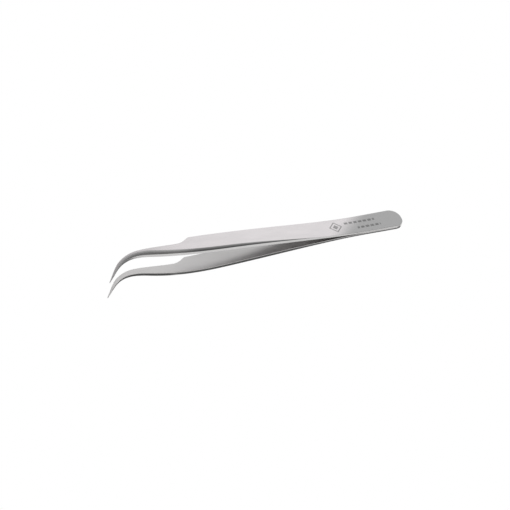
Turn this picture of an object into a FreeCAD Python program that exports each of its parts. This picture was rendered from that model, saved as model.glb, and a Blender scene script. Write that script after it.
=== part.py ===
import FreeCAD, Part
import math
import os
from FreeCAD import Vector

# Precision tweezers with fine tips hooked sideways, 115 mm long, in stainless steel.
#
# Two mirror-image arms lie flat on each other at the tail, where spot welds join them.
# Forward of the weld they bow apart, narrow at a shoulder and end in hooked points.
#
# The arms are drawn in a design frame: x = 0 at the tail's end with the tips towards -x,
# the hook towards -y, and z = 0 on the plane between the arms, with the upper arm at +z.
# place() then lays the tweezers down as they rest on a table, on the tail's edge and
# the lower arm's belly, with the origin at the bottom centre of the whole box.

# ---- plan: half widths of the arm's body at distances from the tail's end ------------------
TAIL_HALF = 4.1
FAR_CORNER_R = 4.0        # rounding of the tail's end on the side away from the hook
NEAR_CORNER_R = 3.3       # rounding of the tail's end on the hook's side
FAR_BODY = [(40.0, 3.75), (82.3, 3.66)]
NEAR_BODY = [(40.0, 3.75), (66.0, 3.70), (78.0, 3.58)]

# ---- plan: shoulder, shank and hook ---------------------------------------------------------
SHOULDER_ROUND = 0.9      # pull of the shoulder's curve at its upper end
SHOULDER_FLARE = 2.8      # and at its foot
SHOULDER_FOOT = 1.3       # along the shank's centreline
SHANK_AT = 86.3           # start of the shank's centreline
SHANK_Y = -0.83
SHANK_HEADING = -7.0      # degrees from -x, minus is away from the hook
SHANK_RUN = 13.7          # straight run before the hook
HOOK_R = 12.1
HOOK_TURN = 58.3          # degrees
TIP_RUN = 6.7             # straight run behind the point
SHANK_WIDTH = 4.8
HOOK_WIDTH = 2.65         # where the hook starts
TIP_ROOT_WIDTH = 1.10     # where the hook ends
POINT_WIDTH = 0.25

# ---- side view: half gap between the arms, and the arm's thickness --------------------------
BELLY_RANGE = range(50, 100)   # the belly is looked for here, in whole millimetres
WELD_LENGTH = 14.0        # the arms touch from the tail's end to here
TAIL_THICK = 0.85
GAP = [(30.0, 0.62), (50.0, 2.02), (72.0, 3.70), (86.0, 4.22), (102.0, 3.90), (115.0, 3.60)]
THICKNESS = [(30.0, 0.88), (50.0, 1.38), (72.0, 1.50), (86.0, 1.52), (102.0, 1.38), (110.0, 0.74), (115.0, 0.15)]

# ---- bevel ground on the outer corner along the hook's side ---------------------------------
BEVEL_START = 34.0
BEVEL_WIDE = [(34.0, 0.02), (66.0, 1.20), (84.0, 1.30), (95.0, 1.70)]
BEVEL_SLOPE = 0.30        # its depth for its width
BEVEL_TO_WIDTH = 0.58     # on the narrow tip the bevel keeps to this share of the width
BEVEL_TO_THICK = 0.40     # and to this share of the thickness
BEVEL_STEP = 4.0          # between the wedge's sections
BEVEL_CLEAR = 0.3         # by which the wedge stands clear of the corner that it grinds off

# ---- joint between the arms -----------------------------------------------------------------
FLEX_AT = 28.0            # the arm's springing is gathered at this distance from the tail
SPOT_AT = (4.6, 9.8)      # weld nuggets
SPOT_R = 1.3
SPOT_HALF_HEIGHT = 0.45

CUT_SIZE = 200.0          # larger than the tweezers, for cutting boxes


def interpolate(pairs, at):
    """Straight-line value of a list of (place, value) pairs."""
    before = pairs[0]
    for after in pairs[1:]:
        if at <= after[0]:
            share = (at - before[0]) / (after[0] - before[0])
            return before[1] + share * (after[1] - before[1])
        before = after
    return before[1]


def smooth_edge(points, start_along=None):
    """Edge of a smooth curve through the points, leaving the first one along start_along."""
    curve = Part.BSplineCurve()
    if start_along is None:
        curve.interpolate(points)
    else:
        last = points[-1] - points[-2]
        last.normalize()
        curve.interpolate(points, InitialTangent=start_along, FinalTangent=last)
    return curve.toShape()


def gap_points():
    """Inner face of the upper arm in side view, from the weld's front to the point."""
    return [Vector(-WELD_LENGTH, 0, 0)] + [Vector(-at, 0, z) for at, z in GAP]


def outer_points():
    """Outer face of the upper arm in side view."""
    inner = [(WELD_LENGTH, 0.0)] + GAP
    start = Vector(-WELD_LENGTH, 0, TAIL_THICK)
    return [start] + [Vector(-at, 0, interpolate(inner, at) + t) for at, t in THICKNESS]


def side_edges():
    """The inner and the outer curve of the upper arm in side view."""
    back = Vector(-1, 0, 0)
    return smooth_edge(gap_points(), back), smooth_edge(outer_points(), back)


def height_on(edge, at):
    """Height of a side-view curve at a distance from the tail's end."""
    line = Part.makeLine(Vector(-at, 0, -CUT_SIZE), Vector(-at, 0, CUT_SIZE))
    return edge.distToShape(line)[1][0][0].z


def belly():
    """Where the outer face bulges furthest from the line to the tail's edge, and that line's slope."""
    outer = side_edges()[1]
    slopes = [((height_on(outer, at) - TAIL_THICK) / at, at) for at in BELLY_RANGE]
    slope, at = max(slopes)
    return at, slope


def side_prism():
    """Side view of the upper arm, as wide as the tweezers, with its outer face split at the belly."""
    inner, outer = side_edges()
    at = belly()[0]
    halves = outer.split(outer.Curve.parameter(Vector(-at, 0, height_on(outer, at)))).Edges
    tip = Part.makeLine(inner.Vertexes[-1].Point, outer.Vertexes[-1].Point)
    tail_in = Part.makeLine(Vector(0, 0, 0), Vector(-WELD_LENGTH, 0, 0))
    tail_out = Part.makeLine(Vector(0, 0, TAIL_THICK), Vector(-WELD_LENGTH, 0, TAIL_THICK))
    tail_end = Part.makeLine(Vector(0, 0, 0), Vector(0, 0, TAIL_THICK))
    wire = Part.Wire(Part.__sortEdges__([tail_in, inner, tip, tail_out, tail_end] + halves))
    face = Part.Face(wire)
    face.translate(Vector(0, -CUT_SIZE / 2, 0))
    return face.extrude(Vector(0, CUT_SIZE, 0))


def centreline(s):
    """Point and heading (degrees from -x) on the shank's centreline, s from its start."""
    turned = min(max((s - SHANK_RUN) / HOOK_R, 0.0), math.radians(HOOK_TURN))
    first = math.radians(SHANK_HEADING)
    last = first + turned
    x = -SHANK_AT - min(s, SHANK_RUN) * math.cos(first)
    y = SHANK_Y - min(s, SHANK_RUN) * math.sin(first)
    x -= HOOK_R * (math.sin(last) - math.sin(first))
    y += HOOK_R * (math.cos(last) - math.cos(first))
    beyond = max(s - SHANK_RUN - HOOK_R * turned, 0.0)
    x -= beyond * math.cos(last)
    y -= beyond * math.sin(last)
    return Vector(x, y, 0), math.degrees(last)


HOOK_END = SHANK_RUN + HOOK_R * math.radians(HOOK_TURN)
SHANK_LENGTH = HOOK_END + TIP_RUN
WIDTHS = [(0.0, SHANK_WIDTH), (SHANK_RUN, HOOK_WIDTH), (HOOK_END, TIP_ROOT_WIDTH), (SHANK_LENGTH, POINT_WIDTH)]
NEAR_STATIONS = [6.0, 10.0, SHANK_RUN, 18.0, 22.0, HOOK_END, 29.0, SHANK_LENGTH]
FAR_STATIONS = [SHOULDER_FOOT, 7.0, SHANK_RUN, 17.0, 20.0, 23.0, HOOK_END, 29.0, SHANK_LENGTH]


def shank_point(s, side):
    """Point on the shank's edge: side +1 is the outside of the hook, -1 its inside."""
    centre, heading = centreline(s)
    angle = math.radians(heading)
    across = Vector(-math.sin(angle), math.cos(angle), 0)
    return centre + across * (side * interpolate(WIDTHS, s) / 2)


def near_points():
    """The edge on the hook's side, from the tail's corner to the point."""
    body = [Vector(-NEAR_CORNER_R, -TAIL_HALF, 0)] + [Vector(-at, -half, 0) for at, half in NEAR_BODY]
    return body + [shank_point(s, -1) for s in NEAR_STATIONS]


def far_body_points():
    """The other edge, from the tail's corner to the shoulder."""
    return [Vector(-FAR_CORNER_R, TAIL_HALF, 0)] + [Vector(-at, half, 0) for at, half in FAR_BODY]


def far_shank_points():
    """The edge outside the hook, from the foot of the shoulder to the point."""
    return [shank_point(s, 1) for s in FAR_STATIONS]


def shoulder_step():
    """The curve by which the far edge falls from the body to the shank."""
    top = far_body_points()[-1]
    foot = far_shank_points()[0]
    step = Part.BezierCurve()
    step.setPoles([top, top - Vector(SHOULDER_ROUND, 0, 0), foot + Vector(SHOULDER_FLARE, 0, 0), foot])
    return step.toShape()


def tail_corner(radius, side):
    """Quarter-round corner of the tail's end."""
    sweep = math.pi / 4
    centre = Vector(-radius, side * (TAIL_HALF - radius), 0)
    middle = centre + Vector(math.cos(sweep), side * math.sin(sweep), 0) * radius
    end = Vector(0, side * (TAIL_HALF - radius), 0)
    return Part.Arc(Vector(-radius, side * TAIL_HALF, 0), middle, end).toShape()


def near_edge():
    """The whole edge on the hook's side."""
    return smooth_edge(near_points(), Vector(-1, 0, 0))


def plan_prism():
    """Outline of the arm seen from above, taller than the tweezers."""
    tail_flat = Vector(0, TAIL_HALF - FAR_CORNER_R, 0), Vector(0, NEAR_CORNER_R - TAIL_HALF, 0)
    edges = [
        near_edge(),
        smooth_edge(far_body_points()),
        shoulder_step(),
        smooth_edge(far_shank_points()),
        Part.makeLine(shank_point(SHANK_LENGTH, 1), shank_point(SHANK_LENGTH, -1)),
        tail_corner(FAR_CORNER_R, 1),
        tail_corner(NEAR_CORNER_R, -1),
        Part.makeLine(*tail_flat),
    ]
    face = Part.Face(Part.Wire(Part.__sortEdges__(edges)))
    face.translate(Vector(0, 0, -CUT_SIZE / 2))
    return face.extrude(Vector(0, 0, CUT_SIZE))


def bevel_corners():
    """Outer corner on the hook's side: point, direction into the arm, and width there."""
    near = near_edge()
    corners = []
    at = BEVEL_START - BEVEL_STEP
    while at < SHANK_AT:
        line = Part.makeLine(Vector(-at, -CUT_SIZE, 0), Vector(-at, CUT_SIZE, 0))
        corners.append((near.distToShape(line)[1][0][0], Vector(0, 1, 0), 2 * TAIL_HALF))
        at += BEVEL_STEP
    s = BEVEL_STEP
    while s < SHANK_LENGTH + BEVEL_STEP:
        inward = shank_point(s, 1) - shank_point(s, -1)
        corners.append((shank_point(s, -1), inward.normalize(), interpolate(WIDTHS, s)))
        s += BEVEL_STEP
    return corners


def bevel_cutter():
    """Wedge that grinds the outer corner along the hook's side of the upper arm."""
    inner, outer = side_edges()
    reach = GAP[-1][0]
    sections = []
    for corner, inward, width in bevel_corners():
        at = min(-corner.x, reach)
        top = height_on(outer, at)
        thick = top - height_on(inner, at)
        wide = min(interpolate(BEVEL_WIDE, max(at, BEVEL_START)), BEVEL_TO_WIDTH * width)
        deep = min(BEVEL_SLOPE * wide, BEVEL_TO_THICK * thick)
        slope = inward * wide + Vector(0, 0, deep)
        low = Vector(corner.x, corner.y, top - deep)
        start = low - slope / 2
        end = low + slope * 1.5
        peak = Vector(start.x, start.y, end.z) + Vector(-inward.x, -inward.y, 1) * BEVEL_CLEAR
        sections.append(Part.makePolygon([start, end, peak, start]))
    return Part.makeLoft(sections, True, False)


def upper_arm_whole():
    """The upper arm in one piece."""
    arm = plan_prism().common(side_prism())
    return arm.cut(bevel_cutter())


def half_box(forward):
    """Everything forward of the springing line, or everything behind it."""
    x = -FLEX_AT - CUT_SIZE if forward else -FLEX_AT
    return Part.makeBox(CUT_SIZE, CUT_SIZE, CUT_SIZE, Vector(x, -CUT_SIZE / 2, -CUT_SIZE / 2))


def spot_welds():
    """Weld nuggets, half in each arm."""
    nuggets = []
    for at in SPOT_AT:
        base = Vector(-at, 0, -SPOT_HALF_HEIGHT)
        nuggets.append(Part.makeCylinder(SPOT_R, 2 * SPOT_HALF_HEIGHT, base))
    return Part.makeCompound(nuggets)


def mirrored(shape):
    """The same shape on the other side of the plane between the arms."""
    return shape.mirror(Vector(0, 0, 0), Vector(0, 0, 1))


def rest_tilt():
    """Degrees that the tweezers tip by to lie on the tail's edge and the lower arm's belly."""
    return math.degrees(math.atan(belly()[1]))


def place(shapes):
    """Lays the pieces down on the table, with the origin under the middle of their box."""
    tilt = rest_tilt()
    box = FreeCAD.BoundBox()
    for shape in shapes.values():
        shape.rotate(Vector(0, 0, 0), Vector(0, 1, 0), tilt)
        box.add(shape.optimalBoundingBox(False, False))
    middle = Vector((box.XMin + box.XMax) / 2, (box.YMin + box.YMax) / 2, box.ZMin)
    for shape in shapes.values():
        shape.translate(middle * -1)
    print("tilt", round(tilt, 4), "moved by", [round(-v, 4) for v in middle])
    print("size", round(box.XLength, 3), round(box.YLength, 3), round(box.ZLength, 3))
    print("half gap at the springing line", round(height_on(side_edges()[0], FLEX_AT), 4))


def main():
    os.makedirs("parts", exist_ok=True)
    arm = upper_arm_whole()
    welds = spot_welds()
    blade = arm.common(half_box(True))
    tail = arm.common(half_box(False)).cut(welds)
    shapes = {
        "upper_arm": blade,
        "upper_arm_tail": tail,
        "lower_arm": mirrored(blade),
        "lower_arm_tail": mirrored(tail),
        "tail_spot_welds": welds,
    }
    place(shapes)
    for name, shape in shapes.items():
        solids = shape.Solids
        print(name, len(solids), round(shape.Volume, 3), shape.isValid())
        shape.exportStep("parts/" + name + ".step")


main()
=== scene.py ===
import math

import bpy
import numpy as np
from mathutils import Matrix, Vector

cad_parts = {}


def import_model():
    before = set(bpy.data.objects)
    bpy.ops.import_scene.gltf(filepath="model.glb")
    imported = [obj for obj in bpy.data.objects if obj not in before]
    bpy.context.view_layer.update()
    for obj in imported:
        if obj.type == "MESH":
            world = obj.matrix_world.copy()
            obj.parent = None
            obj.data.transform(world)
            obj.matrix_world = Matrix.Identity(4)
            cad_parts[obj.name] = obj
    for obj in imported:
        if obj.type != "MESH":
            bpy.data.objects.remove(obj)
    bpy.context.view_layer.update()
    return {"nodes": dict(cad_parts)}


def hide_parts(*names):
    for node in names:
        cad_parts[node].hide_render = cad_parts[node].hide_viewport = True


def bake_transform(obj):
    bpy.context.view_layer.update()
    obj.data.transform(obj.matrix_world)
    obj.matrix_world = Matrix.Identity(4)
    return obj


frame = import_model()

# Lengths are in millimetres in the tweezers' own frame: x = 0 at the tail's end, tips towards
# -x, hook towards -y, z = 0 between the arms. to_row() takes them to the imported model's frame.

# ---- plan, as in the CAD ---------------------------------------------------------------------
TAIL_HALF = 4.1
FAR_CORNER_R = 4.0
NEAR_CORNER_R = 3.3
FAR_BODY = [(40.0, 3.75), (82.3, 3.66)]
NEAR_BODY = [(40.0, 3.75), (66.0, 3.70), (78.0, 3.58)]
SHOULDER_ROUND = 0.9
SHOULDER_FLARE = 2.8
SHOULDER_FOOT = 1.3
SHANK_AT = 86.3
SHANK_Y = -0.83
SHANK_HEADING = math.radians(-7.0)
SHANK_RUN = 13.7
HOOK_R = 12.1
HOOK_TURN = math.radians(58.3)
TIP_RUN = 6.7
HOOK_END = SHANK_RUN + HOOK_R * HOOK_TURN
SHANK_LENGTH = HOOK_END + TIP_RUN
NEAR_STATIONS = [6.0, 10.0, SHANK_RUN, 18.0, 22.0, HOOK_END, 29.0, SHANK_LENGTH]
FAR_STATIONS = [SHOULDER_FOOT, 7.0, SHANK_RUN, 17.0, 20.0, 23.0, HOOK_END, 29.0, SHANK_LENGTH]
WIDTHS = [(0.0, 4.8), (SHANK_RUN, 2.65), (HOOK_END, 1.10), (SHANK_LENGTH, 0.25)]

# ---- side view, as in the CAD ----------------------------------------------------------------
WELD_LENGTH = 14.0
TAIL_THICK = 0.85
GAP = [(30.0, 0.62), (50.0, 2.02), (72.0, 3.70), (86.0, 4.22), (102.0, 3.90), (115.0, 3.60)]
THICKNESS = [(30.0, 0.88), (50.0, 1.38), (72.0, 1.50), (86.0, 1.52), (102.0, 1.38), (110.0, 0.74),
             (115.0, 0.15)]

# ---- bevel along the hook's side, as in the CAD ------------------------------------------------
BEVEL_WIDE = [(34.0, 0.02), (66.0, 1.20), (84.0, 1.30), (95.0, 1.70)]
BEVEL_SLOPE = 0.30
BEVEL_TO_WIDTH = 0.58
BEVEL_TO_THICK = 0.40

# ---- where the CAD lies in the row frame -------------------------------------------------------
TILT = math.radians(3.4574)
SHIFT = (57.4828, 2.4059, 0.8485)

# ---- mesh ---------------------------------------------------------------------------------------
BEVEL_SMOOTH = 7.0          # kinks in the bevel's width are spread over this much to each side
BEVEL_SAMPLES = 13          # and this many values are averaged there
EDGE_BREAK = 0.07           # size of the broken edges
HOOK_BREAK = 0.22           # and of those outside the hook
HOOK_SLOPE = 0.20           # the bevel is rounder and flatter on the hook
EDGE_ROUND = 0.06           # reach of the rounding at each end of a bevel
EDGE_ROUND_SHARE = 0.28     # and it keeps to this share of the bevel's size
EDGE_TO_WIDTH = 0.16        # a broken edge keeps to this share of the arm's width
EDGE_TO_THICK = 0.2         # and to this share of its thickness
# the bevel's depth for its width, along the arm
SLOPES = [(22.0, 1.0), (38.0, BEVEL_SLOPE), (80.0, BEVEL_SLOPE), (90.0, HOOK_SLOPE)]
HOOK_BREAK_OVER = (84.0, 94.0)   # the broken edge grows over this stretch
HOOK_ROUND_OVER = (82.0, 92.0)   # and the bevel gets rounder over this one
ACROSS = 9                  # points across a face, between its edges
POINT_STEPS = 9             # sections over which the bevel ends at the point
ON_SIDE = 2                 # steps of an edge profile that lie on the side
PAST_BEVEL = 4              # and those that round it into the face or lie on the face
LEAN_FROM = 81.8            # from here the sections lean over, to lie straight across the shank
CORNER_SECTIONS = 19        # sections around the tail's corner
BODY_SECTIONS = 111         # along the body
LEAN_SECTIONS = 29          # over the shoulder
SHANK_SECTIONS = 24         # along the straight shank
HOOK_SECTIONS = 33          # around the hook
TIP_SECTIONS = 21           # and from the hook to the point
MM = 0.001

# ---- the plain mark on the tail -------------------------------------------------------------------
MARK_AT = 26.4
MARK_HALF = (2.7, 2.6)      # along and across
DASH_PITCH = 1.9
DASH_ROWS = ((-10.3, -22.8, 1.2), (-8.8, -18.2, -1.6))   # from x, to x, and y

# ---- camera: directions are in the tweezers' own frame --------------------------------------------
CAMERA_AZIMUTH = math.radians(-31.145)
CAMERA_ELEVATION = math.radians(44.443)
CAMERA_ROLL = math.radians(12.646)
CAMERA_DISTANCE = 603.0
LOOKS_AT = (-57.0, -4.0, 0.0)
LENS = 121.55
SHIFT_OF_VIEW = (-0.01175, -0.00624)
FLOOR_HALF = 6.0            # metres


# ================================ curves ================================

def end_slopes(t, p):
    """Slopes at both ends of the polynomial through the first and the last four points."""
    slopes = []
    for ts, ps in ((t[:4], p[:4]), (t[::-1][:4], p[::-1][:4])):
        powers = np.vander(ts - ts[0], increasing=True)
        slopes.append(np.linalg.solve(powers, ps)[1])
    return slopes


def spline(points, start=None, end=None, steps=60):
    """Dense points on the smooth curve through the given points."""
    p = np.array(points, float)
    t = np.concatenate([[0], np.cumsum(np.linalg.norm(np.diff(p, axis=0), axis=1))])
    slopes = end_slopes(t, p)
    for i, along in enumerate((start, end)):
        if along is not None:
            along = np.array(along, float)
            slopes[i] = along * np.abs(slopes[i]).sum() / np.abs(along).sum()
    h = np.diff(t)
    n = len(p)
    a = np.eye(n)
    b = np.zeros_like(p)
    b[0], b[-1] = slopes
    for i in range(1, n - 1):
        a[i, i - 1:i + 2] = h[i], 2 * (h[i - 1] + h[i]), h[i - 1]
        before = (p[i] - p[i - 1]) / h[i - 1]
        after = (p[i + 1] - p[i]) / h[i]
        b[i] = 3 * (h[i] * before + h[i - 1] * after)
    m = np.linalg.solve(a, b)
    out = []
    for i in range(n - 1):
        u = np.linspace(0, 1, steps, endpoint=i == n - 2)[:, None]
        out.append((1 + 2 * u) * (1 - u) ** 2 * p[i] + u * (1 - u) ** 2 * h[i] * m[i]
                   + u * u * (3 - 2 * u) * p[i + 1] + u * u * (u - 1) * h[i] * m[i + 1])
    return np.vstack(out)


def side_curve(points):
    """Height in side view as a function of x, flat over the weld."""
    p = np.array(points)
    curve = spline(p, start=(-1, 0), end=p[-1] - p[-2])
    xs = curve[::-1, 0]
    zs = curve[::-1, 1]
    return lambda x: np.interp(x, xs, zs)


gap_at = [(WELD_LENGTH, 0.0)] + GAP
gap_x = [a for a, z in gap_at]
gap_z = [z for a, z in gap_at]
z_inner = side_curve([(-a, z) for a, z in gap_at])
z_outer = side_curve([(-WELD_LENGTH, TAIL_THICK)]
                     + [(-a, float(np.interp(a, gap_x, gap_z)) + t) for a, t in THICKNESS])


def centreline(s):
    """Point on the shank's centreline and the direction across it, towards the hook's outside."""
    turned = min(max((s - SHANK_RUN) / HOOK_R, 0.0), HOOK_TURN)
    first = SHANK_HEADING
    last = first + turned
    straight = min(s, SHANK_RUN)
    beyond = max(s - SHANK_RUN - HOOK_R * turned, 0.0)
    x = (-SHANK_AT - straight * math.cos(first) - HOOK_R * (math.sin(last) - math.sin(first))
         - beyond * math.cos(last))
    y = (SHANK_Y - straight * math.sin(first) + HOOK_R * (math.cos(last) - math.cos(first))
         - beyond * math.sin(last))
    return np.array([x, y]), np.array([-math.sin(last), math.cos(last)])


def width_at(s):
    return np.interp(s, [a for a, w in WIDTHS], [w for a, w in WIDTHS])


def shank_point(s, side):
    centre, across = centreline(s)
    return centre + across * side * width_at(s) / 2


def far_polyline():
    """The edge away from the hook, from the tail's corner to the point."""
    (ax, ay), (bx, by) = FAR_BODY
    start = np.array([-FAR_CORNER_R, TAIL_HALF])
    middle = np.array([-ax, ay])
    top = np.array([-bx, by])
    t1 = np.linalg.norm(middle - start)
    t2 = t1 + np.linalg.norm(top - middle)
    t = np.linspace(0, t2, 200)[:, None]
    body = (start * (t - t1) * (t - t2) / (t1 * t2) + middle * t * (t - t2) / (t1 * (t1 - t2))
            + top * t * (t - t1) / (t2 * (t2 - t1)))
    foot = shank_point(SHOULDER_FOOT, 1)
    poles = [top, top - (SHOULDER_ROUND, 0), foot + (SHOULDER_FLARE, 0), foot]
    u = np.linspace(0, 1, 80)[1:-1, None]
    step = ((1 - u) ** 3 * poles[0] + 3 * u * (1 - u) ** 2 * poles[1]
            + 3 * u * u * (1 - u) * poles[2] + u ** 3 * poles[3])
    shank = spline([shank_point(s, 1) for s in FAR_STATIONS])
    return np.vstack([body, step, shank])


def near_polyline():
    """The edge on the hook's side, from the tail's corner to the point."""
    points = [(-NEAR_CORNER_R, -TAIL_HALF)] + [(-a, -h) for a, h in NEAR_BODY]
    points += [tuple(shank_point(s, -1)) for s in NEAR_STATIONS]
    return spline(points, start=(-1, 0), end=np.array(points[-1]) - np.array(points[-2]))


def y_on(line, x):
    return np.interp(x, line[::-1, 0], line[::-1, 1])


def meets(line, point, direction):
    """Where a polyline crosses the straight line through a point, nearest to that point."""
    normal = np.array([-direction[1], direction[0]])
    d = (line - point) @ normal
    crossings = np.nonzero(d[:-1] * d[1:] <= 0)[0]
    found = []
    for i in crossings:
        share = d[i] / (d[i] - d[i + 1] + 1e-12)
        found.append(line[i] + share * (line[i + 1] - line[i]))
    return min(found, key=lambda q: np.linalg.norm(q - point))


def stations():
    """Matching points on both edges, from the tail's end to the point: far, near, along."""
    far_line = far_polyline()
    near_line = near_polyline()
    far = []
    near = []
    for angle in np.radians(np.linspace(0, 90, CORNER_SECTIONS)):
        x = -FAR_CORNER_R * (1 - math.cos(angle))
        far.append((x, TAIL_HALF - FAR_CORNER_R + FAR_CORNER_R * math.sin(angle)))
        turn = math.acos(max(1 + x / NEAR_CORNER_R, 0.0))
        rounded = -TAIL_HALF + NEAR_CORNER_R * (1 - math.sin(turn))
        near.append((x, rounded if x > -NEAR_CORNER_R else y_on(near_line, x)))
    for x in np.linspace(-FAR_CORNER_R, -LEAN_FROM, BODY_SECTIONS)[1:]:
        far.append((x, y_on(far_line, x)))
        near.append((x, y_on(near_line, x)))
    # the sections lean over from straight across the body to straight across the shank
    foot = shank_point(SHOULDER_FOOT, 1)
    lean_to = -foot[0]
    for x in np.linspace(-LEAN_FROM, foot[0], LEAN_SECTIONS)[1:]:
        share = (-x - LEAN_FROM) / (lean_to - LEAN_FROM)
        angle = -SHANK_HEADING * share * share * (3 - 2 * share)
        point = np.array([x, y_on(far_line, x)])
        far.append(tuple(point))
        near.append(tuple(meets(near_line, point, (math.sin(angle), math.cos(angle)))))
    shank = np.linspace(SHOULDER_FOOT, SHANK_RUN, SHANK_SECTIONS)[1:]
    hook = np.linspace(SHANK_RUN, HOOK_END, HOOK_SECTIONS)[1:]
    tip = np.linspace(HOOK_END, SHANK_LENGTH, TIP_SECTIONS)[1:]
    for s in np.concatenate([shank, hook, tip]):
        centre, across = centreline(s)
        far.append(tuple(meets(far_line, centre + across * width_at(s) / 2, across)))
        near.append(tuple(meets(near_line, centre - across * width_at(s) / 2, across)))
    far = np.array(far)
    near = np.array(near)
    far[-1] = shank_point(SHANK_LENGTH, 1)
    near[-1] = shank_point(SHANK_LENGTH, -1)
    for line in (far, near):
        line[:, 0] = np.maximum(line[:, 0], -GAP[-1][0])
    return far, near


# ================================ arm mesh ================================

def outward(points, side):
    """Unit normals of an edge in plan, pointing out of the arm."""
    along = np.gradient(points, axis=0)
    along /= np.linalg.norm(along, axis=1)[:, None]
    return side * np.stack([along[:, 1], -along[:, 0]], axis=1)


def ring_plan():
    """The closed outline of the arm: points, outward directions, and the count along each edge."""
    far, near = stations()
    n_far = outward(far, 1)
    n_near = outward(near, -1)
    n_far[0] = n_near[0] = (1, 0)
    tip = far[-1] + near[-1] - far[-2] - near[-2]
    tip /= np.linalg.norm(tip)
    n_far[-1] += tip
    n_near[-1] += tip
    share = np.linspace(0, 1, ACROSS + 2)[1:-1, None]
    tip_points = far[-1] + share * (near[-1] - far[-1])
    tail_points = near[0] + share * (far[0] - near[0])
    points = np.vstack([far, tip_points, near[::-1], tail_points])
    tip_normals = np.tile(tip, (ACROSS, 1))
    tail_normals = np.tile((1.0, 0.0), (ACROSS, 1))
    normals = np.vstack([n_far, tip_normals, n_near[::-1], tail_normals])
    return points, normals, len(far)


def edge_profile(wide, deep, rounded):
    """(inset, drop) steps from the side up over a bevel of this size to the face."""
    a = np.array([np.zeros_like(deep), deep])
    b = np.array([wide, np.zeros_like(wide)])
    swell = rounded * deep / 4
    size = np.hypot(wide, deep)
    unit = (b - a) / size
    reach = np.minimum(EDGE_ROUND, EDGE_ROUND_SHARE * size)
    side = a + np.array([np.zeros_like(reach), reach])
    face = b + np.array([reach, np.zeros_like(reach)])
    low = a + unit * reach
    high = b - unit * reach
    steps = [side + np.array([np.zeros_like(reach), 0.8 * reach]), side]
    for u in (1 / 3, 2 / 3):
        steps.append((1 - u) ** 2 * side + 2 * u * (1 - u) * a + u * u * low)
    for u in (0, 0.1, 0.22, 0.36, 0.5, 0.64, 0.78, 0.9, 1):
        steps.append(low + u * (high - low) - np.array([np.zeros_like(swell), 4 * u * (1 - u) * swell]))
    for u in (1 / 3, 2 / 3):
        steps.append((1 - u) ** 2 * high + 2 * u * (1 - u) * b + u * u * face)
    steps += [face, face + np.array([0.8 * reach, np.zeros_like(reach)])]
    return steps


def bevel_sizes(points, count):
    """Width, depth, broken edge, rounding and ground share at each point of the outline."""
    at = -points[:, 0]
    thick = z_outer(points[:, 0]) - z_inner(points[:, 0])
    far, near = points[:count], points[count + ACROSS:2 * count + ACROSS][::-1]
    width = np.linalg.norm(far - near, axis=1)
    widths = np.concatenate([width, np.full(ACROSS, width[-1]), width[::-1], np.full(ACROSS, width[0])])
    most = np.minimum(EDGE_TO_WIDTH * widths, EDGE_TO_THICK * thick)
    least = np.minimum(EDGE_BREAK, most)
    ground_x, ground = zip(*BEVEL_WIDE)
    near_by = at[:, None] + np.linspace(-BEVEL_SMOOTH, BEVEL_SMOOTH, BEVEL_SAMPLES)
    ground_wide = np.interp(near_by, ground_x, ground).mean(axis=1)
    share = np.full(count, BEVEL_TO_WIDTH)
    share[-POINT_STEPS:] = np.linspace(BEVEL_TO_WIDTH, EDGE_TO_WIDTH, POINT_STEPS)
    at_end = np.full(ACROSS, EDGE_TO_WIDTH)
    share = np.concatenate([share, at_end, share[::-1], at_end])
    wide = np.minimum(ground_wide, share * widths)
    wide = np.maximum(wide, least)
    slope = np.interp(at, *zip(*SLOPES))
    deep = np.minimum(slope * wide, BEVEL_TO_THICK * thick)
    beveled = np.zeros(len(points), bool)
    beveled[count + ACROSS:2 * count + ACROSS] = True
    edge = np.minimum(np.interp(at, HOOK_BREAK_OVER, (EDGE_BREAK, HOOK_BREAK)), most)
    wide = np.where(beveled, wide, edge)
    deep = np.where(beveled, deep, edge)
    rounded = np.where(beveled, np.interp(at, HOOK_ROUND_OVER, (0.5, 1.0)), 0.0)
    ground = np.where(beveled, np.clip((wide - 0.1) / 0.2, 0, 1), 0.0)
    return wide, deep, least, rounded, ground


def to_row(points):
    """Design frame in millimetres to the row frame in metres."""
    x, y, z = points.T
    c, s = math.cos(TILT), math.sin(TILT)
    row = np.stack([x * c + z * s, y, -x * s + z * c], axis=1) + np.array(SHIFT)
    return row * MM


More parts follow.
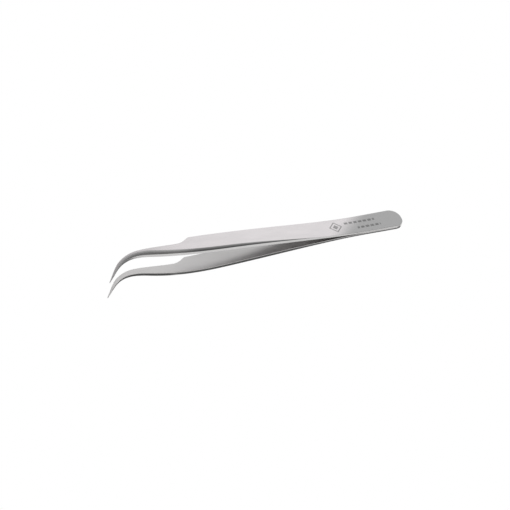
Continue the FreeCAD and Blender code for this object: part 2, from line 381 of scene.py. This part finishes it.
def arm_shape():
    """Vertices and faces of the upper arm, and how far each vertex is inner face, side or bevel."""
    plan, normals, count = ring_plan()
    wide, deep, least, rounded, ground = bevel_sizes(plan, count)
    m = len(plan)
    rings = []
    for inset, drop in edge_profile(least, least, np.zeros(m))[::-1]:
        xy = plan - normals * inset[:, None]
        rings.append(np.column_stack([xy, z_inner(xy[:, 0]) + drop]))
    inner_rings = len(rings)
    bottom_side = rings[-1][:, 2] - z_inner(plan[:, 0])
    top_steps = edge_profile(wide, deep, rounded)
    top_side = z_outer(plan[:, 0]) - top_steps[0][1]
    low = z_inner(plan[:, 0]) + bottom_side
    for u in (0.25, 0.5, 0.75):
        rings.append(np.column_stack([plan, low + u * (top_side - low)]))
    for inset, drop in top_steps:
        xy = plan - normals * inset[:, None]
        rings.append(np.column_stack([xy, z_outer(xy[:, 0]) - drop]))
    top = len(rings) - len(top_steps)
    parts = np.zeros((len(rings), m, 3))
    parts[:inner_rings // 2, :, 0] = 1
    parts[inner_rings // 2:top + ON_SIDE, :, 1] = 1
    parts[top + ON_SIDE:-PAST_BEVEL, :, 2] = ground
    parts = parts.reshape(-1, 3)
    vertices = np.vstack(rings)
    faces = []
    for r in range(len(rings) - 1):
        for i in range(m):
            j = (i + 1) % m
            faces.append((r * m + i, r * m + j, (r + 1) * m + j, (r + 1) * m + i))
    for ring, height, up in ((0, z_inner, False), (len(rings) - 1, z_outer, True)):
        grid = face_grid(vertices, ring * m, count, height)
        start = len(vertices)
        vertices = np.vstack([vertices, grid])
        parts = np.vstack([parts, np.tile((0.0 if up else 1.0, 0.0, 0.0), (len(grid), 1))])
        index = np.zeros((count, ACROSS + 2), int)
        index[:, 0] = ring * m + np.arange(count)
        index[:, -1] = ring * m + count + ACROSS + np.arange(count)[::-1]
        index[0, 1:-1] = (ring * m + 2 * count + ACROSS + np.arange(ACROSS))[::-1]
        index[-1, 1:-1] = ring * m + count + np.arange(ACROSS)
        index[1:-1, 1:-1] = start + np.arange((count - 2) * ACROSS).reshape(count - 2, ACROSS)
        for i in range(count - 1):
            for j in range(ACROSS + 1):
                quad = (index[i, j], index[i, j + 1], index[i + 1, j + 1], index[i + 1, j])
                faces.append(quad[::-1] if up else quad)
    return vertices, faces, parts


def face_grid(vertices, first, count, height):
    """Inner points of a face between the far and the near edge of a ring."""
    far = vertices[first:first + count, :2]
    near = vertices[first + count + ACROSS:first + 2 * count + ACROSS, :2][::-1]
    share = np.linspace(0, 1, ACROSS + 2)[1:-1]
    xy = far[1:-1, None] + share[None, :, None] * (near - far)[1:-1, None]
    xy = xy.reshape(-1, 2)
    return np.column_stack([xy, height(xy[:, 0])])


def build_arm(name, up):
    """One whole arm; up is 1 for the upper arm and -1 for its mirror image."""
    vertices, faces, parts = arm_shape()
    local = vertices * (1, 1, up)
    if up < 0:
        faces = [f[::-1] for f in faces]
    mesh = bpy.data.meshes.new(name)
    corners = [tuple(int(v) for v in f) for f in faces]
    mesh.from_pydata(to_row(local).tolist(), [], corners)
    mesh.polygons.foreach_set("use_smooth", [True] * len(mesh.polygons))
    for attribute, values in (("place", local), ("part", parts)):
        stored = mesh.attributes.new(attribute, "FLOAT_VECTOR", "POINT")
        stored.data.foreach_set("vector", values.astype(np.float32).ravel())
    mesh.validate()
    mesh.update()
    arm = bpy.data.objects.new(name, mesh)
    bpy.context.scene.collection.objects.link(arm)
    return arm


# ================================ materials ================================

def node(tree, kind, **values):
    made = tree.nodes.new(kind)
    for key, value in values.items():
        if hasattr(made, key):
            setattr(made, key, value)
        else:
            made.inputs[key].default_value = value
    return made


def feed(tree, socket, value):
    """Joins a socket to another's output, or sets its constant."""
    if isinstance(value, bpy.types.NodeSocket):
        tree.links.new(value, socket)
    else:
        socket.default_value = value


def calc(tree, operation, *values):
    made = node(tree, "ShaderNodeMath", operation=operation)
    for socket, value in zip(made.inputs, values):
        feed(tree, socket, value)
    return made.outputs[0]


def fade(tree, value, start, end, low=0.0, high=1.0):
    """From low at start to high at end, smoothly."""
    made = node(tree, "ShaderNodeMapRange", interpolation_type="SMOOTHSTEP")
    for socket, given in zip(made.inputs, (value, start, end, low, high)):
        feed(tree, socket, given)
    return made.outputs[0]


def split(tree, vector):
    made = node(tree, "ShaderNodeSeparateXYZ")
    tree.links.new(vector, made.inputs[0])
    return made.outputs


def attribute(tree, name):
    return node(tree, "ShaderNodeAttribute", attribute_name=name).outputs["Vector"]


def tone(tree, share, low, high):
    made = node(tree, "ShaderNodeMix", data_type="RGBA")
    for socket, value in zip((made.inputs[0], made.inputs[6], made.inputs[7]), (share, low, high)):
        feed(tree, socket, value)
    return made.outputs[2]


def grain(tree, place, size, detail=3.0):
    """Noise with the given size in millimetres along x, y and z."""
    scaled = node(tree, "ShaderNodeVectorMath", operation="DIVIDE")
    tree.links.new(place, scaled.inputs[0])
    scaled.inputs[1].default_value = size
    noise = node(tree, "ShaderNodeTexNoise", Scale=1.0, Detail=detail, Roughness=0.55)
    tree.links.new(scaled.outputs[0], noise.inputs["Vector"])
    return noise.outputs["Fac"]


def etched_mark(tree, x, y):
    """A rhombus inside a rhombus and two rows of plain dashes on the tail."""
    across = calc(tree, "ABSOLUTE", y)
    along = calc(tree, "ABSOLUTE", calc(tree, "ADD", x, MARK_AT))
    half_along, half_across = MARK_HALF
    ring = calc(tree, "DIVIDE", along, half_along)
    ring = calc(tree, "ADD", ring, calc(tree, "DIVIDE", across, half_across))
    outline = calc(tree, "MULTIPLY", fade(tree, ring, 1.0, 0.94), fade(tree, ring, 0.72, 0.78))
    mark = calc(tree, "MAXIMUM", outline, fade(tree, ring, 0.46, 0.40))
    for start, end, height in DASH_ROWS:
        dash = calc(tree, "FRACT", calc(tree, "DIVIDE", x, DASH_PITCH))
        dash = calc(tree, "MULTIPLY", fade(tree, dash, 0.12, 0.2), fade(tree, dash, 0.9, 0.82))
        row = calc(tree, "ABSOLUTE", calc(tree, "SUBTRACT", y, height))
        dash = calc(tree, "MULTIPLY", dash, fade(tree, row, 0.52, 0.42))
        dash = calc(tree, "MULTIPLY", dash, fade(tree, x, start, start - 0.1))
        dash = calc(tree, "MULTIPLY", dash, fade(tree, x, end, end + 0.1))
        mark = calc(tree, "MAXIMUM", mark, dash)
    return mark


def satin_steel():
    """Ground spring steel: satin outer faces, rougher at the tail and darker there, partly as a darker
    finish and partly as a painted darker reflection; rougher inner faces; and a ground bevel painted darker
    than the sides as a painted darker reflection.
    """
    material = bpy.data.materials.new("satin_steel")
    material.use_nodes = True
    tree = material.node_tree
    shader = tree.nodes["Principled BSDF"]
    place = attribute(tree, "place")
    x, y, z = split(tree, place)
    inner, side, bevel = split(tree, attribute(tree, "part"))
    elsewhere = calc(tree, "ADD", inner, calc(tree, "ADD", side, bevel))
    outer = calc(tree, "SUBTRACT", 1.0, calc(tree, "MINIMUM", 1.0, elsewhere))
    # The outer faces near the tail's end get a darker grey (0.44): partly a darker finish, partly a painted
    # darker reflection.
    leaning = calc(tree, "ADD", x, calc(tree, "MULTIPLY", y, -1.2))
    tail = calc(tree, "MULTIPLY", outer, fade(tree, leaning, -27.0, -16.0))
    cloud = grain(tree, place, (9.0, 2.4, 4.0))
    streak = grain(tree, place, (7.0, 0.05, 0.05), 2.0)
    colour = tone(tree, tail, (0.74, 0.710, 0.720, 1), (0.44, 0.44, 0.44, 1))
    colour = tone(tree, inner, colour, (0.70, 0.688, 0.685, 1))
    colour = tone(tree, side, colour, (0.70, 0.69, 0.685, 1))
    # The ground bevel's grey is darker than the sides': a painted darker reflection, the same on both arms.
    colour = tone(tree, bevel, colour, (0.60, 0.595, 0.592, 1))
    mottled = tone(tree, fade(tree, cloud, 0.35, 0.65, 0.0, 0.10), colour, (0.45, 0.44, 0.45, 1))
    above = calc(tree, "GREATER_THAN", z, 0.0)
    mark = calc(tree, "MULTIPLY", calc(tree, "MULTIPLY", etched_mark(tree, x, y), outer), above)
    mottled = tone(tree, calc(tree, "MULTIPLY", mark, 0.55), mottled, (0.25, 0.25, 0.25, 1))
    tree.links.new(mottled, shader.inputs["Base Color"])
    rough = calc(tree, "ADD", 0.22, calc(tree, "MULTIPLY", tail, 0.08))
    rough = calc(tree, "ADD", rough, calc(tree, "MULTIPLY", inner, 0.12))
    rough = calc(tree, "ADD", rough, calc(tree, "MULTIPLY", bevel, fade(tree, x, -78.0, -90.0, -0.06, 0.16)))
    rough = calc(tree, "ADD", rough, fade(tree, streak, 0.3, 0.7, -0.02, 0.03))
    rough = calc(tree, "ADD", rough, calc(tree, "MULTIPLY", mark, 0.25))
    tree.links.new(rough, shader.inputs["Roughness"])
    shader.inputs["Metallic"].default_value = 1.0
    bump = node(tree, "ShaderNodeBump", Strength=0.04, Distance=0.00002)
    tree.links.new(streak, bump.inputs["Height"])
    tree.links.new(bump.outputs[0], shader.inputs["Normal"])
    return material


def weld_metal():
    """Dull fused metal of the spot welds."""
    material = bpy.data.materials.new("weld_metal")
    material.use_nodes = True
    tree = material.node_tree
    shader = tree.nodes["Principled BSDF"]
    spot = node(tree, "ShaderNodeTexCoord").outputs["Object"]
    noise = node(tree, "ShaderNodeTexNoise", Scale=1500.0, Detail=3.0)
    tree.links.new(spot, noise.inputs["Vector"])
    colour = tone(tree, noise.outputs["Fac"], (0.38, 0.37, 0.36, 1), (0.52, 0.51, 0.50, 1))
    tree.links.new(colour, shader.inputs["Base Color"])
    tree.links.new(fade(tree, noise.outputs["Fac"], 0.3, 0.7, 0.35, 0.5), shader.inputs["Roughness"])
    shader.inputs["Metallic"].default_value = 1.0
    return material


# ================================ scene ================================

def camera():
    az, el, roll = CAMERA_AZIMUTH, CAMERA_ELEVATION, CAMERA_ROLL
    back = np.array([math.sin(az) * math.cos(el), -math.cos(az) * math.cos(el), math.sin(el)])
    right = np.array([math.cos(az), math.sin(az), 0.0])
    up = np.array([-math.sin(az) * math.sin(el), math.cos(az) * math.sin(el), math.cos(el)])
    cam_right = math.cos(roll) * right + math.sin(roll) * up
    cam_up = -math.sin(roll) * right + math.cos(roll) * up
    origin = to_row(np.zeros((1, 3)))[0]
    turn = [to_row(v[None])[0] - origin for v in (cam_right, cam_up, back)]
    turn = [v / np.linalg.norm(v) for v in turn]
    position = to_row((np.array(LOOKS_AT) + back * CAMERA_DISTANCE)[None])[0]
    data = bpy.data.cameras.new("camera")
    data.sensor_width = 36.0
    data.lens = LENS
    data.shift_x, data.shift_y = SHIFT_OF_VIEW
    data.clip_start = 0.01
    data.clip_end = 20.0
    shot = bpy.data.objects.new("camera", data)
    rows = [[direction[i] for direction in turn] + [position[i]] for i in range(3)]
    shot.matrix_world = Matrix(rows + [[0, 0, 0, 1]])
    bpy.context.scene.collection.objects.link(shot)
    bpy.context.scene.camera = shot


def floor():
    """White paper. In the steel it mirrors darker under and behind the tweezers, as if shaded."""
    mesh = bpy.data.meshes.new("floor")
    half = FLOOR_HALF
    corners = [(-half, -half, 0), (half, -half, 0), (half, half, 0), (-half, half, 0)]
    mesh.from_pydata(corners, [], [(0, 1, 2, 3)])
    ground = bpy.data.objects.new("floor", mesh)
    ground.location.z = -0.0001
    bpy.context.scene.collection.objects.link(ground)
    material = bpy.data.materials.new("white_paper")
    material.use_nodes = True
    tree = material.node_tree
    tree.nodes.remove(tree.nodes["Principled BSDF"])
    x, y = split(tree, node(tree, "ShaderNodeTexCoord").outputs["Object"])[:2]
    hook = calc(tree, "MINIMUM", 0.0, calc(tree, "MULTIPLY_ADD", x, 0.25, 0.007))
    tail = calc(tree, "MAXIMUM", 0.0, calc(tree, "MULTIPLY_ADD", x, 0.06, -0.0024))
    ahead = calc(tree, "SUBTRACT", y, calc(tree, "ADD", hook, tail))
    under = calc(tree, "MULTIPLY", fade(tree, ahead, -0.0014, -0.0008), fade(tree, y, 0.0068, 0.0058))
    level = calc(tree, "ADD", fade(tree, ahead, -0.0030, -0.0039), fade(tree, y, 0.018, 0.034))
    under = calc(tree, "MULTIPLY", under, fade(tree, x, -0.034, -0.026))
    level = calc(tree, "ADD", level, calc(tree, "ADD", under, fade(tree, x, 0.0562, 0.0572)))
    light = fade(tree, level, 0.0, 1.0, 0.10, 0.84)
    path = tree.nodes.new("ShaderNodeLightPath")
    seen = node(tree, "ShaderNodeMath", operation="MAXIMUM")
    tree.links.new(path.outputs["Is Camera Ray"], seen.inputs[0])
    tree.links.new(light, seen.inputs[1])
    glow = node(tree, "ShaderNodeEmission")
    tree.links.new(seen.outputs[0], glow.inputs["Strength"])
    tree.links.new(glow.outputs[0], tree.nodes["Material Output"].inputs["Surface"])
    mesh.materials.append(material)


def world():
    """White to the camera. What the steel reflects has bright and dark directions."""
    scene_world = bpy.data.worlds.new("studio")
    bpy.context.scene.world = scene_world
    scene_world.use_nodes = True
    tree = scene_world.node_tree
    background = tree.nodes["Background"]
    coordinates = tree.nodes.new("ShaderNodeTexCoord")
    axis = Vector((0.60, 0.74, 0.30)).normalized()
    toward = node(tree, "ShaderNodeVectorMath", operation="DOT_PRODUCT")
    toward.inputs[1].default_value = axis
    tree.links.new(coordinates.outputs["Generated"], toward.inputs[0])
    ramp = tree.nodes.new("ShaderNodeValToRGB")
    ramp.color_ramp.interpolation = "B_SPLINE"
    stops = [(0.0, 0.06), (0.50, 0.06), (0.79, 0.30), (0.87, 1.15), (0.92, 1.25), (1.0, 1.85)]
    ramp.color_ramp.elements[0].position = stops[0][0]
    ramp.color_ramp.elements[1].position = stops[-1][0]
    for position, value in stops[1:-1]:
        ramp.color_ramp.elements.new(position)
    for element, (position, value) in zip(ramp.color_ramp.elements, stops):
        element.color = (value, value, value, 1)
    tree.links.new(toward.outputs["Value"], ramp.inputs[0])
    ahead = node(tree, "ShaderNodeVectorMath", operation="DOT_PRODUCT")
    ahead.inputs[1].default_value = Vector((0.369, -0.75, 0.55)).normalized()
    tree.links.new(coordinates.outputs["Generated"], ahead.inputs[0])
    front = fade(tree, ahead.outputs["Value"], 0.86, 0.95, 0.0, 0.9)
    x, _, z = split(tree, coordinates.outputs["Generated"])
    level = calc(tree, "ADD", ramp.outputs[0], front)
    for fill in (fade(tree, x, -0.10, -0.45, 0.0, 0.8), fade(tree, z, 0.48, 0.28, 0.0, 0.75)):
        level = calc(tree, "MAXIMUM", level, fill)
    tree.links.new(level, background.inputs["Color"])
    white = node(tree, "ShaderNodeBackground")
    white.inputs["Color"].default_value = (1, 1, 1, 1)
    path = tree.nodes.new("ShaderNodeLightPath")
    mix = tree.nodes.new("ShaderNodeMixShader")
    tree.links.new(path.outputs["Is Camera Ray"], mix.inputs[0])
    tree.links.new(background.outputs[0], mix.inputs[1])
    tree.links.new(white.outputs[0], mix.inputs[2])
    tree.links.new(mix.outputs[0], tree.nodes["World Output"].inputs["Surface"])


camera()
floor()
world()
bpy.context.scene.view_settings.view_transform = "Standard"

satin = satin_steel()
for name, up in (("upper_arm", 1), ("lower_arm", -1)):
    arm = build_arm(name + "_whole", up)
    arm.data.materials.append(satin)
    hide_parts(name, name + "_tail")
    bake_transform(arm)

welds = frame["nodes"]["tail_spot_welds"]
for slot in welds.material_slots:
    slot.material = weld_metal()
